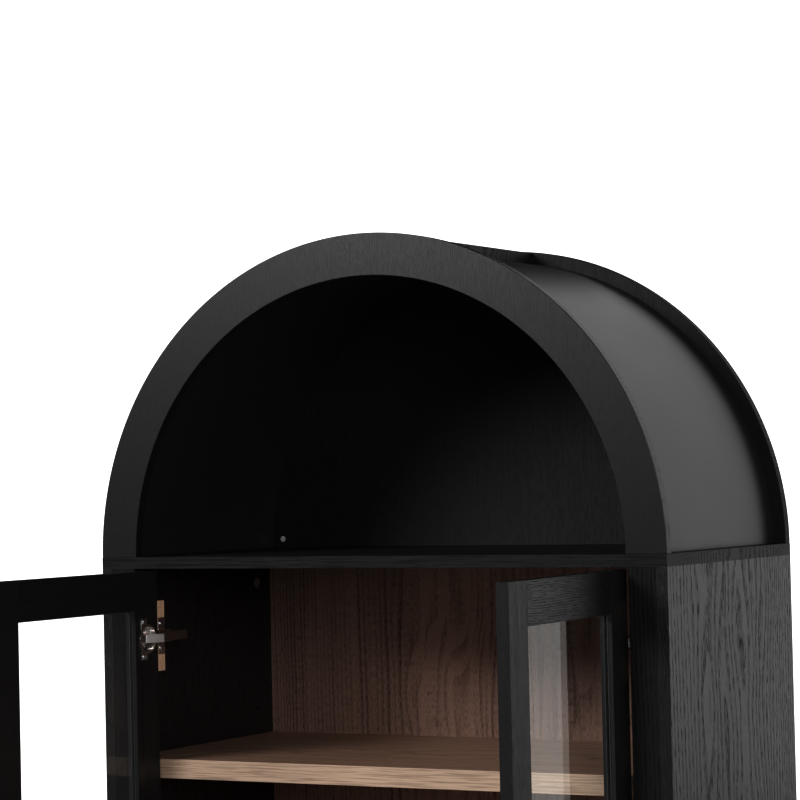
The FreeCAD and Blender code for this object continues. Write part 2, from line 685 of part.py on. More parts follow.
blocks = []
block_screws = []
plates = []
arms = []
plate_screws = []
block_depth = size("stile_face") - size("board")
for number, height in enumerate(hinge_heights, start=1):
    centre = size("plate_back")
    block_blank = block_box(
        f"block_blank_{number}",
        (-block_depth, centre - size("block_width") / 2, height - size("block_height") / 2),
        (0, centre + size("block_width") / 2, height + size("block_height") / 2),
    )
    screws = []
    for end, side in ((1, -1), (2, 1)):
        spot_y = front + centre
        spot_z = height + side * BLOCK_SCREW_HALF
        screws.append(fuse(f"block_screw_{number}_{end}", [
            rod(f"block_shank_{number}_{end}", SCREW_RADIUS, block_depth - BLOCK_HEAD_SINK,
                (edge_x - block_depth, spot_y, spot_z), "x"),
            rod(f"block_head_{number}_{end}", BLOCK_HEAD_RADIUS, BLOCK_HEAD_HEIGHT,
                (edge_x - BLOCK_HEAD_SINK - BLOCK_HEAD_HEIGHT, spot_y, spot_z), "x"),
        ]))
    sinks = [
        rod(f"block_sink_{number}_{end}", BLOCK_HEAD_RADIUS, BLOCK_HEAD_SINK,
            (edge_x - BLOCK_HEAD_SINK, front + centre, height + side * BLOCK_SCREW_HALF), "x")
        for end, side in ((1, -1), (2, 1))
    ]
    fixing_screws = []
    for end, side in ((1, -1), (2, 1)):
        spot_z = height + side * PLATE_SCREW_HALF
        fixing_screws.append(fuse(f"plate_screw_{number}_{end}", [
            rod(f"plate_shank_{number}_{end}", SCREW_RADIUS, PLATE_SCREW_BITE + PLATE_WALL,
                (edge_x - PLATE_SCREW_BITE, front + centre, spot_z), "x"),
            rod(f"plate_head_{number}_{end}", PLATE_SCREW_HEAD, PLATE_SCREW_HEAD_HEIGHT,
                (edge_x + PLATE_WALL, front + centre, spot_z), "x"),
        ]))
    block_screws += screws
    plate_screws += fixing_screws
    blocks.append(cut(f"block_{number}", block_blank, screws + sinks + fixing_screws))
    plate_blank = fuse(f"plate_blank_{number}", [
        block_box(
            f"plate_wing_{number}",
            (0, centre - PLATE_WIDTH / 2, height - PLATE_HALF),
            (PLATE_WALL, centre + PLATE_WIDTH / 2, height + PLATE_HALF),
        ),
        block_box(
            f"plate_hump_{number}",
            (0, centre - HUMP_LENGTH / 2, height - HUMP_HALF),
            (HUMP_TOP, centre + HUMP_LENGTH / 2, height + HUMP_HALF),
        ),
    ])
    plates.append(cut(f"plate_{number}", plate_blank, fixing_screws))
    link_half = size("link_width") / 2
    ear_low = link_half + EAR_GAP
    pivot_x = edge_x + LINK_PIVOT[0]
    pivot_y = front + LINK_PIVOT[1]
    arm_parts = [
        block_box(
            f"arm_channel_{number}",
            (ARM_LOW, ARM_START, height - ARM_HALF),
            (ARM_TOP, centre + ARM_TAIL, height + ARM_HALF),
        ),
        rod(f"arm_pin_{number}", LINK_PIN_RADIUS, (ear_low + EAR_WALL) * 2,
            (pivot_x, pivot_y, height - ear_low - EAR_WALL)),
    ]
    for end, ear_z in ((1, height - ear_low - EAR_WALL), (2, height + ear_low)):
        arm_parts.append(block_box(
            f"arm_ear_{number}_{end}",
            (LINK_PIVOT[0] - EAR_REACH, LINK_PIVOT[1] - EAR_REACH, ear_z),
            (LINK_PIVOT[0] + EAR_REACH, ARM_START + BRIDGE_LENGTH, ear_z + EAR_WALL),
        ))
    arm_parts.append(block_box(
        f"arm_bridge_{number}",
        (LINK_PIVOT[0] - EAR_REACH, ARM_START, height - ear_low - EAR_WALL),
        (ARM_TOP, ARM_START + BRIDGE_LENGTH, height + ear_low + EAR_WALL),
    ))
    arms.append(fuse(f"arm_{number}", arm_parts))

# The links are shaped with the door closed, about their pin, and turn with the door by link_share.
LINK_BARREL_RADIUS = 2.6
LINK_KNEE = (26, 6.7)        # where they reach round the door's edge
LINK_TIP = (29.3, -18.7)     # their end inside the cup


def link_shape():
    """A bent strap that reaches from the arm's pin, round the door's edge, into the cup."""
    half = value_of(size("link_wall")) / 2
    width = value_of(size("link_width"))
    bore_radius = LINK_PIN_RADIUS + value_of(size("pin_ease"))
    low = -width / 2
    points = [Vector(0, 0, low), Vector(*LINK_KNEE, low), Vector(*LINK_TIP, low)]
    flats = []
    for start, end in zip(points, points[1:]):
        run = (end - start).normalize()
        side = Vector(-run.y, run.x, 0) * half
        corners = [start + side, end + side, end - side, start - side, start + side]
        flats.append(Part.Face(Part.makePolygon(corners)).extrude(Vector(0, 0, width)))
    rounds = [Part.makeCylinder(half, width, spot) for spot in points[1:]]
    barrel = Part.makeCylinder(LINK_BARREL_RADIUS, width, points[0])
    strap = barrel.fuse(flats + rounds).removeSplitter()
    return strap.cut(Part.makeCylinder(bore_radius, width, points[0]))


links = {"left": [], "right": []}
for number, height in enumerate(hinge_heights, start=1):
    for side, direction in (("left", -1), ("right", 1)):
        link = doc.addObject("Part::Feature", f"{side}_link_{number}")
        shape = link_shape()
        link.Shape = shape if side == "left" else shape.mirror(Vector(), Vector(1, 0, 0))
        pin_x = (edge_x + LINK_PIVOT[0]) * -direction
        put(link, (pin_x, front + LINK_PIVOT[1], height))
        turn = size(f"{side}_open") * size("link_share") * direction
        link.setExpression("Placement.Rotation.Angle", str(turn))
        links[side].append(link)
for side, pieces in links.items():
    keep(f"{side}_hinge_links", gather(f"{side}_hinge_links", pieces))

# ---------------------------------------------------------------- left and right sets of hinge parts

hinge_sets = {
    "hinge_blocks": blocks,
    "hinge_plates": plates,
    "hinge_arms": arms,
}
for title, pieces in hinge_sets.items():
    left_set = keep(f"left_{title}", gather(f"left_{title}", pieces))
    keep(f"right_{title}", mirrored(f"right_{title}", left_set))
for title, pieces in (("hinge_block_screws", block_screws), ("hinge_plate_screws", plate_screws)):
    left_set = gather(f"left_{title}", pieces)
    keep(title, gather(title, [left_set, mirrored(f"right_{title}", left_set)]))

# ---------------------------------------------------------------- check and write

doc.recompute()
faults = []
for item in doc.Objects:
    if "Invalid" in item.State or "Error" in item.State:
        faults.append(f"{item.Label}: {item.State}")
for name, item in nodes.items():
    if item.Shape.isNull() or not item.Shape.isValid() or not item.Shape.Solids:
        faults.append(f"{name}: the shape is empty or not valid")
if faults:
    raise SystemExit("\n".join(faults))

os.makedirs("parts", exist_ok=True)
for name, item in nodes.items():
    item.Shape.exportStep(f"parts/{name}.step")
print(len(nodes), "sub-parts written")
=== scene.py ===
import math

import bmesh
import bpy
from mathutils import Matrix, Vector
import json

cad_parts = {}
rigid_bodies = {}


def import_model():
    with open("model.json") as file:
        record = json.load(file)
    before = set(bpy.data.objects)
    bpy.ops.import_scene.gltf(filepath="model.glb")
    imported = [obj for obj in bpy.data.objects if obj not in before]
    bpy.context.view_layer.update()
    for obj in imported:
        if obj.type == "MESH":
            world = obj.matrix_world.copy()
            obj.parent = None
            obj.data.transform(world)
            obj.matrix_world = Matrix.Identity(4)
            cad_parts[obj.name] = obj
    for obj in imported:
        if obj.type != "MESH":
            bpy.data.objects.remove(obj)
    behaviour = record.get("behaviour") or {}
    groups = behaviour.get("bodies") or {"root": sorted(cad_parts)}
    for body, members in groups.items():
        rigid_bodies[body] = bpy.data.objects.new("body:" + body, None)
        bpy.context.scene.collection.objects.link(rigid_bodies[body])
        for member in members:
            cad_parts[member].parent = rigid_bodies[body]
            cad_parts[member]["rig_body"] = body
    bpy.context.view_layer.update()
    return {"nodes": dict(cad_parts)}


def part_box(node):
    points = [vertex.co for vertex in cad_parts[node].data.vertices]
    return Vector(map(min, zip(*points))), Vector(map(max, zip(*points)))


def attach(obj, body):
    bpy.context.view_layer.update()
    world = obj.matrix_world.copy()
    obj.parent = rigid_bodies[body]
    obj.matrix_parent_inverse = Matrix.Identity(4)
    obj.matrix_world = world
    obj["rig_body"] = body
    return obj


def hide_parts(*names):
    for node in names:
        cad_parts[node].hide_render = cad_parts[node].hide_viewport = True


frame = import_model()

# Side panels: 15 mm particle board with a black oak foil on every face. The foil is pressed with open
# pores and cathedral figure that runs up the panel. Both hang on cams and dowels from the divider board.


class Wire:
    """A socket that takes part in arithmetic: an expression on values adds its Math nodes."""

    def __init__(self, finish, socket):
        self.finish = finish
        self.socket = socket

    def maths(self, operation, *values):
        return self.finish.node("ShaderNodeMath", {"operation": operation}, dict(enumerate(values)))

    def __add__(self, other):
        return self.maths("ADD", self, other)

    def __sub__(self, other):
        return self.maths("SUBTRACT", self, other)

    def __rsub__(self, other):
        return self.maths("SUBTRACT", other, self)

    def __mul__(self, other):
        return self.maths("MULTIPLY", self, other)

    def __truediv__(self, other):
        return self.maths("DIVIDE", self, other)

    def __rtruediv__(self, other):
        return self.maths("DIVIDE", other, self)

    def __pow__(self, other):
        return self.maths("POWER", self, other)

    def __rpow__(self, other):
        return self.maths("POWER", other, self)

    __radd__ = __add__
    __rmul__ = __mul__


class Finish:
    """The nodes of one material, or of the studio's walls when those are given as the owner."""

    def __init__(self, name, owner=None):
        self.owner = owner or bpy.data.materials.new(name)
        self.owner.use_nodes = True
        self.tree = self.owner.node_tree
        self.tree.nodes.clear()

    def node(self, kind, settings=None, sockets=None, output=0):
        """Adds a node: its type, its settings, the values or links of its sockets, and the output wanted."""
        node = self.tree.nodes.new(kind)
        for key, value in (settings or {}).items():
            setattr(node, key, value)
        for key, value in (sockets or {}).items():
            if isinstance(value, Wire):
                self.tree.links.new(value.socket, node.inputs[key])
            else:
                node.inputs[key].default_value = value
        return Wire(self, node.outputs[output] if node.outputs else None)

    def axes(self):
        """The piece's own X, Y and Z, in metres."""
        place = self.node("ShaderNodeTexCoord", output="Object")
        return [self.node("ShaderNodeSeparateXYZ", sockets={0: place}, output=axis) for axis in range(3)]

    def noise(self, spread, detail=2, roughness=0.5, seed=0):
        """Cloudy noise from 0 to 1, on the three values in spread."""
        place = self.node("ShaderNodeCombineXYZ", sockets=dict(enumerate(spread)))
        settings = {"noise_dimensions": "4D"}
        sockets = {"Vector": place, "W": seed, "Scale": 1, "Detail": detail, "Roughness": roughness}
        return self.node("ShaderNodeTexNoise", settings, sockets, "Fac")

    def even_noise(self, count, detail=2, roughness=0.5, seed=0):
        """Noise that is alike in every direction, with a count of lumps in a metre."""
        return self.noise([axis * count for axis in self.axes()], detail, roughness, seed)

    def step(self, value, low, high, bottom=0, top=1):
        """A soft step between two values."""
        sockets = {"Value": value, "From Min": low, "From Max": high, "To Min": bottom, "To Max": top}
        return self.node("ShaderNodeMapRange", {"interpolation_type": "SMOOTHSTEP"}, sockets)

    def tint(self, share, low, high):
        """Mixes two colours."""
        colours = {"Factor": share, 6: low, 7: high}
        return self.node("ShaderNodeMix", {"data_type": "RGBA"}, colours, 2)

    def bump(self, height, distance):
        """Stands a surface up by a height from 0 to 1 times a distance."""
        return self.node("ShaderNodeBump", sockets={"Height": height, "Distance": distance, "Strength": 1})

    def surface(self, **sockets):
        """The finished shader. A socket's name is written in small letters with lines for spaces."""
        named = {}
        for name, value in sockets.items():
            named[name.replace("_", " ").title().replace("Ior", "IOR")] = value
        return self.output(self.node("ShaderNodeBsdfPrincipled", sockets=named))

    def output(self, shader, kind="ShaderNodeOutputMaterial"):
        self.node(kind, sockets={"Surface": shader})
        return self.owner


def rgb(red, green, blue):
    return (red, green, blue, 1)


# Lumps in a metre of each kind of noise in the wood, across and along the board.
WANDER = (13, 3.6)
WAVER = (45, 11)
CLOUD = (8, 1.6)
RIPPLE = (12, 190)
PATCH = (26, 3)
STREAK_LENGTH = 60            # how many times longer than broad a streak is
# How far growth lines stray, and how they lie, in metres.
STRAY = 0.02
TREMBLE = 0.002
TIP_ROUNDING = 0.0002         # rounds the innermost arch
HEARTS_MEET = 0.03            # how softly the arches of two hearts run together
LINE_SPACING = 0.03           # for the first lines beside a heart
CLOSING_UP = 1.6              # how fast the lines close up further out
LINES_PER_METRE = 1.6         # that end in arches, along the board
ARCH_WIDTH = (0.02, 0.13)     # the arches are strong inside the first width and weak beyond the second
WEAK_ARCHES = 0.2
# Where one year's growth, from 0 to 1, changes from one kind of wood to the next.
LINE_START = 0.08
DARK_LINE = 0.16
SOFT_WOOD = (0.1, 0.7)
# The levels of noise between which each mark comes up.
PORE_EDGE = (0.46, 0.6)
STREAK_EDGE = (0.32, 0.68)
PATCH_EDGE = (0.48, 0.66)
HARD_WOOD_STREAKS = 0.25      # as a share of those in the soft wood


def wood(name, along, across, pale, deep, hearts=(0,), swirl=8, pores=0.8, dashes=(650, 62), fine=160,
         streaks=0.5, calm=0.08, lines=0, cross=0, clouds=0.3, roughness=(0.36, 0.62), relief=0.0002,
         sheen=0.5, seed=0):
    """Oak figure: growth lines that nest into arches near each heart line and run straight elsewhere.

    Pores, streaks, dark lines, cross ripple and clouds each have a strength, and calm is the share of the
    pores that stands in the hard wood too. Dashes are the pores in a metre, across and along the board.
    """
    finish = Finish(name)
    axes = dict(zip("xyz", finish.axes()))
    length = axes[along]
    width = axes[across]
    through = axes[next(axis for axis in "xyz" if axis not in along + across)]

    def grained(count, detail, rough, number):
        spread = (width * count[0], length * count[1], through * count[0])
        return finish.noise(spread, detail, rough, seed + number)

    # growth lines
    wander = grained(WANDER, 2, 0.45, 0) - 0.5
    waver = grained(WAVER, 2, 0.5, 1) - 0.5
    shifted = width + wander * STRAY + waver * TREMBLE
    radius = None
    for heart in hearts:
        offset = shifted - heart
        here = (offset * offset + TIP_ROUNDING) ** 0.5
        radius = here if radius is None else finish.node(
            "ShaderNodeMath", {"operation": "SMOOTH_MIN"}, {0: radius, 1: here, 2: HEARTS_MEET})
    arches = finish.step(radius, *ARCH_WIDTH, 1, WEAK_ARCHES)
    growth = (radius / LINE_SPACING) ** CLOSING_UP + wander * arches * swirl - length * LINES_PER_METRE
    year = finish.node("ShaderNodeMath", {"operation": "FRACT"}, {0: growth})
    soft = finish.step(year, *SOFT_WOOD, 1, 0) * finish.step(year, 0, LINE_START)

    # open pores in the soft wood, fine streaks, and clouds over both
    pore = finish.step(grained(dashes, 2, 0.6, 2), *PORE_EDGE)
    streak = finish.step(grained((fine, fine / STREAK_LENGTH), 3, 0.6, 3), *STREAK_EDGE)
    streak_share = soft * (1 - HARD_WOOD_STREAKS) + HARD_WOOD_STREAKS
    dark = pore * (soft * (1 - calm) + calm) * pores + streak * streak_share * streaks
    dark = dark + (grained(CLOUD, 2, 0.5, 4) - 0.5) * clouds
    if lines:
        dark = dark + finish.step(year, 0, DARK_LINE, 1, 0) * lines

    # saw ripple across the grain, in patches
    if cross:
        patch = finish.step(grained(PATCH, 1, 0.5, 6), *PATCH_EDGE)
        dark = dark + (0.5 - grained(RIPPLE, 2, 0.6, 5)) * patch * cross
    dark = finish.node("ShaderNodeClamp", sockets={0: dark})
    gloss = dark * (roughness[1] - roughness[0]) + roughness[0]
    return finish.surface(base_color=finish.tint(dark, pale, deep), roughness=gloss,
                          specular_ior_level=sheen, normal=finish.bump(1 - dark, relief))


WELD = 1e-6                   # corners closer than this are one
FLAT = math.radians(0.5)      # faces that meet at less than this are one face
CURVED = math.radians(25)     # and at less than this, one curve
SHARP = math.radians(40)      # an edge that is broken


def node_shape(node):
    """A node's own shape, with each flat side as one face."""
    shape = bmesh.new()
    shape.from_mesh(frame["nodes"][node].data)
    bmesh.ops.remove_doubles(shape, verts=shape.verts, dist=WELD)
    bmesh.ops.dissolve_limit(shape, angle_limit=FLAT, verts=shape.verts, edges=shape.edges)
    return shape


def stand(name, mesh):
    """Puts a new piece, lamp or camera in the scene."""
    piece = bpy.data.objects.new(name, mesh)
    bpy.context.scene.collection.objects.link(piece)
    return piece


def easy_edges(node, finish, ease=0.0008, segments=2):
    """A board as it comes off the edging line: the node's own shape, with its sharp edges broken."""
    piece = stand(node + "_made", frame["nodes"][node].data.copy())
    shape = node_shape(node)
    shape.to_mesh(piece.data)
    shape.free()
    settle(piece, node, finish, ease, segments)
    return piece


def settle(piece, node, finish, ease, segments=2):
    """Breaks a piece's edges, smooths its curves, and puts it in its node's place with its finish."""
    piece.data.materials.clear()
    piece.data.materials.append(finish)
    piece.data.shade_smooth()
    piece.data.set_sharp_from_angle(angle=CURVED)
    if ease:
        bevel = piece.modifiers.new("eased", "BEVEL")
        bevel.width = ease
        bevel.segments = segments
        bevel.limit_method = "ANGLE"
        bevel.angle_limit = SHARP
        bevel.harden_normals = True
    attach(piece, frame["nodes"][node]["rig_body"])
    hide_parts(node)


BLACK_PALE = rgb(0.018, 0.018, 0.0195)
BLACK_DEEP = rgb(0.004, 0.004, 0.0045)
black_side = wood("black_oak_side", "z", "y", BLACK_PALE, BLACK_DEEP, hearts=(0.025, -0.08),
                  dashes=(560, 62), streaks=0.2, calm=0.18, lines=0.3,
                  roughness=(0.28, 0.70), relief=0.00028)
for side in ("left", "right"):
    easy_edges(f"{side}_side_panel", black_side)

# Bottom panel, plinth boards and face stiles: the same foiled board. The stiles are glued to the side
# panels' front edges, and the plinth boards carry the bottom panel off the floor.

black_across = wood("black_oak_across", "x", "z", BLACK_PALE, BLACK_DEEP, hearts=(1.2,), seed=4)
black_upright = wood("black_oak_upright", "z", "x", BLACK_PALE, BLACK_DEEP, hearts=(0.6,),
                     roughness=(0.5, 0.7), sheen=0.15, seed=8)
black_deck = wood("black_oak_deck", "x", "y", BLACK_PALE, BLACK_DEEP, hearts=(0.02,),
                  roughness=(0.48, 0.7), sheen=0.4, seed=12)
easy_edges("bottom_panel", black_deck)
for node in ("plinth_front", "plinth_rear"):
    easy_edges(node, black_across)
for node in ("left_face_stile", "right_face_stile"):
    easy_edges(node, black_upright)

# Divider board: the cupboard's top and the niche's floor in one board. It is foiled like the rest, with the
# grain of its front edge running along it, and lies on the side panels on cams and dowels.

EDGE_ON = 0.5                 # a face with more of its normal than this along an axis faces that way
black_edge = wood("black_oak_edge", "x", "z", BLACK_PALE, BLACK_DEEP, hearts=(1.2,),
                  dashes=(700, 12), calm=0.8, roughness=(0.5, 0.7), sheen=0.25, seed=14)
divider = easy_edges("divider_board", black_deck)
divider.data.materials.append(black_edge)
for face in divider.data.polygons:
    if abs(face.normal.y) > EDGE_ON:
        face.material_index = 1

# Back panel: a 5 mm fibreboard sheet in brown oak paper, slid into grooves in the sides, divider and
# bottom. Its figure runs upright, with saw ripple across it in patches.

OAK_PALE = rgb(0.420, 0.275, 0.215)
OAK_DEEP = rgb(0.085, 0.040, 0.033)
oak_upright = wood("brown_oak_upright", "z", "x", OAK_PALE, OAK_DEEP, hearts=(-0.12, 0.1), pores=0.5,
                   dashes=(1500, 120), fine=110, streaks=0.6, calm=0.9, lines=0.14, cross=0.9, clouds=1.0,
                   roughness=(0.5, 0.65), relief=0.00008, seed=20)
easy_edges("back_panel", oak_upright, ease=0)

# Shelves: 25 mm boards in the same brown oak paper, with a paler oak band ironed to the edges. They lie
# loose on pins, so each can be lifted out and set at another height.

SHELF_PALE = rgb(0.60, 0.39, 0.285)
SHELF_DEEP = rgb(0.15, 0.085, 0.062)
BAND_PALE = rgb(0.585, 0.43, 0.325)
BAND_DEEP = rgb(0.21, 0.14, 0.10)
oak_along = wood("brown_oak_along", "x", "y", SHELF_PALE, SHELF_DEEP, hearts=(-0.02,),
                 pores=0.35, streaks=0.7, calm=0.4, cross=0.15, clouds=0.3,
                 roughness=(0.4, 0.6), relief=0.00005, seed=30)
oak_band = wood("pale_oak_band", "x", "z", BAND_PALE, BAND_DEEP, hearts=(1.4,),
                pores=0.45, dashes=(520, 14), fine=620, streaks=0.3, calm=1, clouds=0.1,
                roughness=(0.5, 0.65), relief=0.00006, seed=34)
for number in range(1, 5):
    shelf = easy_edges(f"shelf_{number}", oak_along, ease=0.0006)
    shelf.data.materials.append(oak_band)
    for face in shelf.data.polygons:
        if abs(face.normal.z) < EDGE_ON:
            face.material_index = 1

# Shelf pins, cam locks and bolts: zinc-plated steel, turned or pressed. The pins push into bored holes and
# the cams draw the boards together. Dowels: plain beech, glued in between the cams.

WORKING_MARKS = 300           # in a metre
MARK_DEPTH = 0.000004
METAL_HAZE = 30               # in a metre


def metal(name, colour, roughness, seed=0):
    """Plated metal with fine working marks and a little unevenness in its shine."""
    finish = Finish(name)
    marks = finish.even_noise(WORKING_MARKS, 3, 0.6, seed)
    haze = finish.even_noise(METAL_HAZE, seed=seed + 1)
    shade = finish.tint(marks * 0.5 + haze * 0.5, rgb(*(c * 0.8 for c in colour)), rgb(*colour))
    gloss = (marks - 0.5) * 0.05 + (haze - 0.5) * 0.08 + roughness
    return finish.surface(base_color=shade, metallic=1.0, roughness=gloss,
                          normal=finish.bump(marks, MARK_DEPTH))


zinc = metal("zinc_plate", (0.60, 0.61, 0.63), roughness=0.36)
for node in ("shelf_pins", "cam_locks", "cam_bolts"):
    easy_edges(node, zinc, ease=0.0004)

RAW_PALE = rgb(0.95, 0.66, 0.46)
RAW_DEEP = rgb(0.56, 0.35, 0.22)
raw_wood = wood("raw_wood", "z", "y", RAW_PALE, RAW_DEEP, hearts=(0.8,), pores=0.3,
                streaks=0.7, roughness=(0.65, 0.8), relief=0.00012, seed=40)
easy_edges("joining_dowels", raw_wood, ease=0.0006)

# Floor glides, centre foot and screw caps: moulded plastic with a fine eroded texture. Glides and foot are
# pressed into the plinth's underside, and the paler caps into the screw holes at the back of the niche.

PITS = 1800                   # in a metre
PIT_DEPTH = 0.00004
PLASTIC_HAZE = 20             # in a metre


def plastic(name, colour, roughness=0.5, seed=0):
    """Moulded plastic: fine pits, and a slow drift in shade and shine."""
    finish = Finish(name)
    pits = finish.even_noise(PITS, seed=seed)
    haze = finish.even_noise(PLASTIC_HAZE, seed=seed + 1)
    shade = finish.tint(haze, rgb(*(c * 0.85 for c in colour)), rgb(*(c * 1.12 for c in colour)))
    gloss = (haze - 0.5) * 0.12 + roughness
    return finish.surface(base_color=shade, roughness=gloss, normal=finish.bump(pits, PIT_DEPTH))


grey_plastic = plastic("grey_plastic", (0.13, 0.13, 0.135))
pale_plastic = plastic("pale_grey_plastic", (0.62, 0.62, 0.62), roughness=0.4, seed=75)
for node in ("floor_glides", "centre_foot"):
    easy_edges(node, grey_plastic, ease=0.0005)
easy_edges("niche_screw_caps", pale_plastic, ease=0.0005)

# Front arch ring and back arch panel: cut from the same foiled board, with the curved edge banded. They
# stand on the divider board on dowels, and hold the ends of the curved shell in a groove.

ARC_STEPS = 96                # for a quarter turn
RING_FACE = 0.053             # how broad the ring's face is
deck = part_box("front_arch_ring")[0].z
arch_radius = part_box("front_arch_ring")[1].x


def arch(node, outer, inner, finish, ease, quarter=None):
    """A half or quarter ring, or with no inner radius a half disc, as deep as its node."""
    low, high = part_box(node)
    start, stop = {None: (0, 2), "right": (0, 1), "left": (1, 2)}[quarter]
    angles = [math.pi / 2 * step / ARC_STEPS for step in range(start * ARC_STEPS, stop * ARC_STEPS + 1)]
    shape = bmesh.new()

    def row(radius, y):
        return [shape.verts.new((radius * math.cos(a), y, deck + radius * math.sin(a))) for a in angles]

    rows = [row(outer, low.y), row(outer, high.y)]
    if inner:
        rows += [row(inner, high.y), row(inner, low.y)]
        for first, second in zip(rows, rows[1:] + rows[:1]):
            for a, b, c, d in zip(first, first[1:], second[1:], second):
                shape.faces.new((a, b, c, d))
        for end in (0, -1):
            shape.faces.new([r[end] for r in rows])
    else:
        for a, b, c, d in zip(rows[0], rows[0][1:], rows[1][1:], rows[1]):
            shape.faces.new((a, b, c, d))
        shape.faces.new(rows[0])
        shape.faces.new(list(reversed(rows[1])))
        shape.faces.new((rows[0][0], rows[1][0], rows[1][-1], rows[0][-1]))
    bmesh.ops.recalc_face_normals(shape, faces=shape.faces)
    mesh = bpy.data.meshes.new(node + "_made")
    shape.to_mesh(mesh)
    shape.free()
    settle(stand(node + "_made", mesh), node, finish, ease)


black_ring = wood("black_oak_ring", "z", "x", BLACK_PALE, BLACK_DEEP, hearts=(0.9,), pores=0.6,
                  streaks=0.3, clouds=0.15, roughness=(0.33, 0.46), relief=0.0001, seed=50)
# Back arch panel: a far darker copy of the black foil, as painted shade for the niche, on both its faces.
NICHE_SHADE_PALE = rgb(0.006, 0.006, 0.007)
NICHE_SHADE_DEEP = rgb(0.002, 0.002, 0.002)
black_with_painted_niche_shade = wood("black_oak_painted_niche_shade", "z", "x", NICHE_SHADE_PALE, NICHE_SHADE_DEEP, hearts=(0.9,), pores=0.6,
                    streaks=0.3, roughness=(0.6, 0.75), seed=54)
arch("front_arch_ring", arch_radius, arch_radius - RING_FACE, black_ring, ease=0.0009)
arch("back_arch_panel", arch_radius, None, black_with_painted_niche_shade, ease=0.0009)

# Curved shell: two quarter rounds of bent board in a smooth satin black foil. They butt at the crown, and
# their ends sit in the grooves of the ring and the back arch panel.

SHELL_WALL = 0.009
PEEL = 420                    # lumps in a metre
PEEL_DEPTH = 0.00002
RUBBED_PATCHES = 5            # in a metre


def satin(name, colour, roughness=0.34, seed=0):
    """A smooth foil: a faint orange peel, and rubbed patches that shine a little more."""
    finish = Finish(name)
    peel = finish.even_noise(PEEL, seed=seed)
    rub = finish.even_noise(RUBBED_PATCHES, 4, 0.6, seed + 1)
    shade = finish.tint(rub, rgb(*(c * 0.9 for c in colour)), rgb(*(c * 1.1 for c in colour)))
    gloss = (rub - 0.5) * 0.12 + (peel - 0.5) * 0.05 + roughness
    return finish.surface(base_color=shade, roughness=gloss, normal=finish.bump(peel, PEEL_DEPTH))


satin_black = satin("satin_black_foil", (0.030, 0.030, 0.032))
shell_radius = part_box("right_curved_shell")[1].x
for side in ("left", "right"):
    arch(f"{side}_curved_shell", shell_radius, shell_radius - SHELL_WALL, satin_black,
         ease=0.0004, quarter=side)

# Ridge batten: a strip of the foiled board over the shell's butt joint. Its underside is coped to the
# curve, and screws from inside the niche pull it down.

easy_edges("ridge_batten", black_deck)

# Hinge blocks: short lengths of raw sawn wood that pack the hinges out level with the face stiles. Each is
# held to its side panel by two screws.

for side in ("left", "right"):
    easy_edges(f"{side}_hinge_blocks", raw_wood, ease=0.0007)

# Concealed hinges: pressed steel, nickel plated. The cup sits in a bore in the door, the plate is screwed to
# the block, and the arm between them is painted darker, as painted shade. The links were tumbled before
# plating, so they are duller, and their nickel is painted paler and pinker, as a painted reflection of the
# wood.

nickel = metal("nickel_plate", (0.80, 0.77, 0.75), roughness=0.20, seed=5)
# Painted shade: the arms get a darker copy of the same nickel.
nickel_painted_shade = metal("painted_shade_nickel_plate", (0.46, 0.44, 0.43), roughness=0.14, seed=7)
# Painted reflection: the links' nickel is paler and pinker, for the wood it would reflect.
tumbled_nickel_painted_reflection = metal("pink_painted_reflection_tumbled_plate", (0.92, 0.87, 0.86), roughness=0.42, seed=6)
for side in ("left", "right"):
    for part in ("plates", "cups"):
        easy_edges(f"{side}_hinge_{part}", nickel, ease=0.0006, segments=3)
    easy_edges(f"{side}_hinge_arms", nickel_painted_shade, ease=0.0006, segments=3)
    easy_edges(f"{side}_hinge_links", tumbled_nickel_painted_reflection, ease=0.0005, segments=3)

# Screws: zinc-plated steel with low flat heads. A punch sinks a cross in each head for the driver, and
# each one is left at whatever angle it bit at.

RECESS_REACH = 0.64           # of the head's radius
RECESS_SLOT = 0.0009
RECESS_DEPTH = 0.001
BITE = 1.1                    # how much further each screw is turned than the last, in radians
AXIS_ROUNDS = 20              # for finding a screw's axis from its points


def loose_solids(shape):
    """The points of each separate solid in a shape."""
    unseen = set(shape.verts)
    solids = []
    for start in shape.verts:
        if start not in unseen:
            continue
        unseen.remove(start)
        front = [start]
        points = []
        while front:
            corner = front.pop()
            points.append(corner.co.copy())
            for edge in corner.link_edges:
                other = edge.other_vert(corner)
                if other in unseen:
                    unseen.remove(other)
                    front.append(other)
        solids.append(points)
    return solids


def add_punch(punches, points, turn):
    """Adds a cross-shaped prism that stands in the head of the screw with these points."""
    middle = sum(points, Vector()) / len(points)
    reaches = [point - middle for point in points]
    axis = max(reaches, key=lambda reach: reach.length)
    for _ in range(AXIS_ROUNDS):
        axis = sum((reach * reach.dot(axis) for reach in reaches), Vector()).normalized()

    def off_axis(reach):
        return (reach - axis * reach.dot(axis)).length

    widest = max(reaches, key=off_axis)
    heights = [reach.dot(axis) for reach in reaches]
    if widest.dot(axis) < (min(heights) + max(heights)) / 2:
        axis = -axis
    face = max(reach.dot(axis) for reach in reaches)
    arm = off_axis(widest) * RECESS_REACH
    half = RECESS_SLOT / 2
    outline = []
    for quarter in range(4):
        cos = math.cos(quarter * math.pi / 2 + turn)
        sin = math.sin(quarter * math.pi / 2 + turn)
        for x, y in ((arm, -half), (arm, half), (half, half)):
            outline.append((x * cos - y * sin, x * sin + y * cos))
    turned = axis.to_track_quat("Z", "Y").to_matrix()
    ends = []
    for height in (face - RECESS_DEPTH, face + RECESS_DEPTH):
        ends.append([punches.verts.new(middle + turned @ Vector((x, y, height))) for x, y in outline])
    bottom, top = ends
    punches.faces.new(list(reversed(bottom)))
    punches.faces.new(top)
    for a, b, c, d in zip(bottom, bottom[1:] + bottom[:1], top[1:] + top[:1], top):
        punches.faces.new((a, b, c, d))


